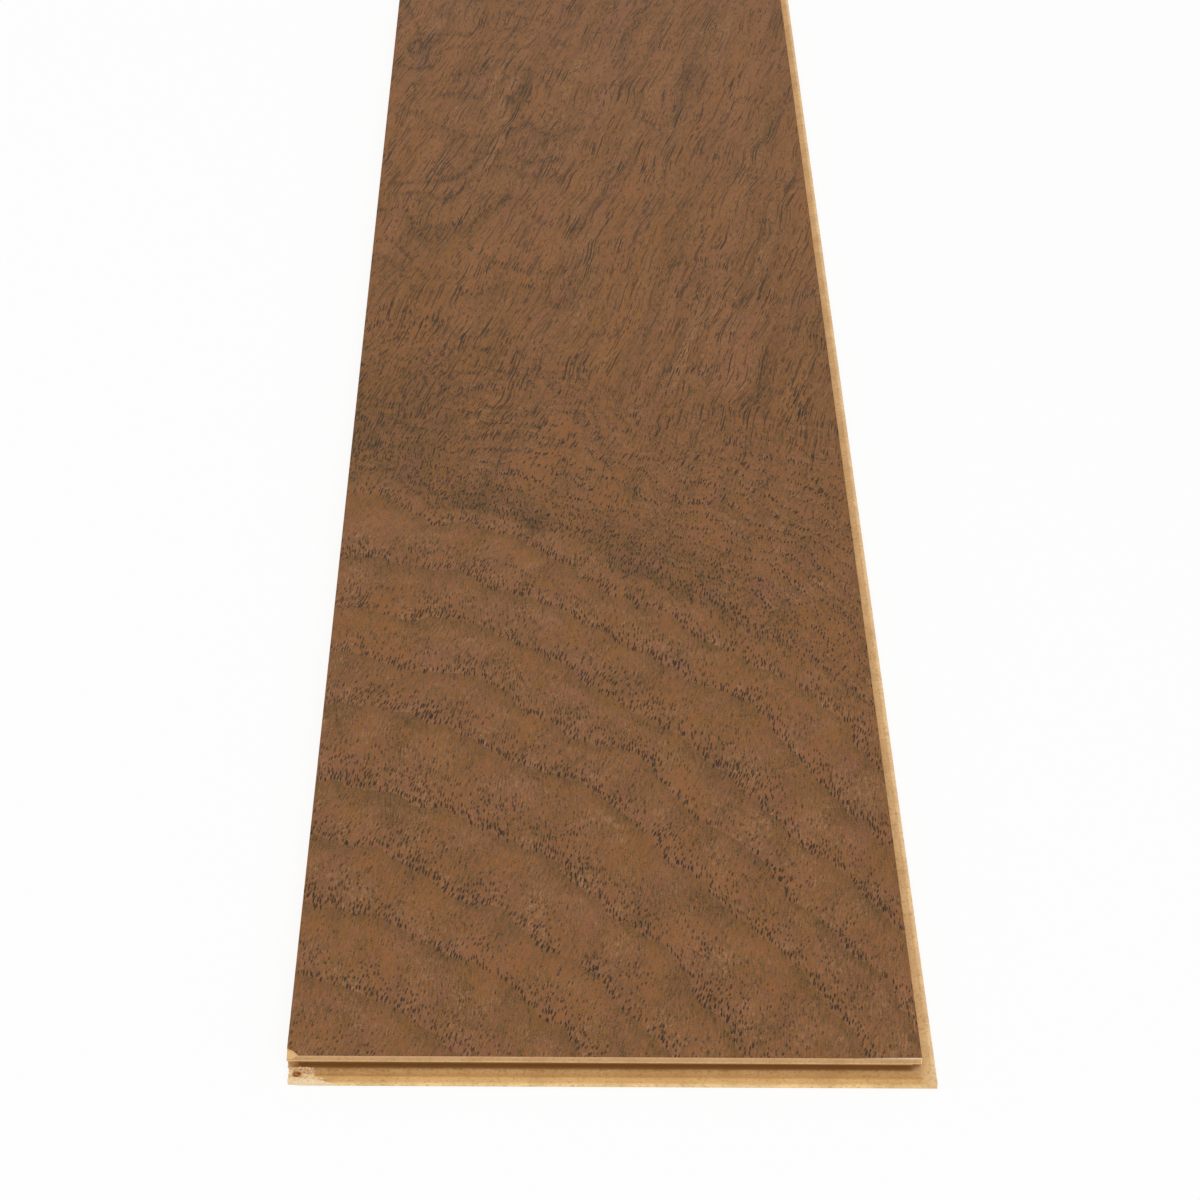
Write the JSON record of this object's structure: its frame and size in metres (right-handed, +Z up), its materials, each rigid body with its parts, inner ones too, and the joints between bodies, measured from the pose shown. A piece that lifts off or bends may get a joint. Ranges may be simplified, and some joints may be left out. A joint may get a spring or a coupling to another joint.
{
  "type": "laminate floorboard",
  "caption": "Wide plank laminate floorboard: printed wood decor on a fibre core, with a long lower lip on two sides and a tongue seat on the other two.",
  "frame": {"origin": "middle of the box round the board, at the underside", "axes": "+Y along the length from the lipped near short side, +X across the width towards the lipped long side, +Z up out of the walked face"},
  "size_m": [0.1982, 1.2902, 0.008],
  "materials": {
    "fibre_core": "sawn",
    "wood_decor": "satin"
  },
  "bodies": {
    "root": {"hdf_core": "fibre_core", "decor_layer": "wood_decor"}
  },
  "joints": []
}
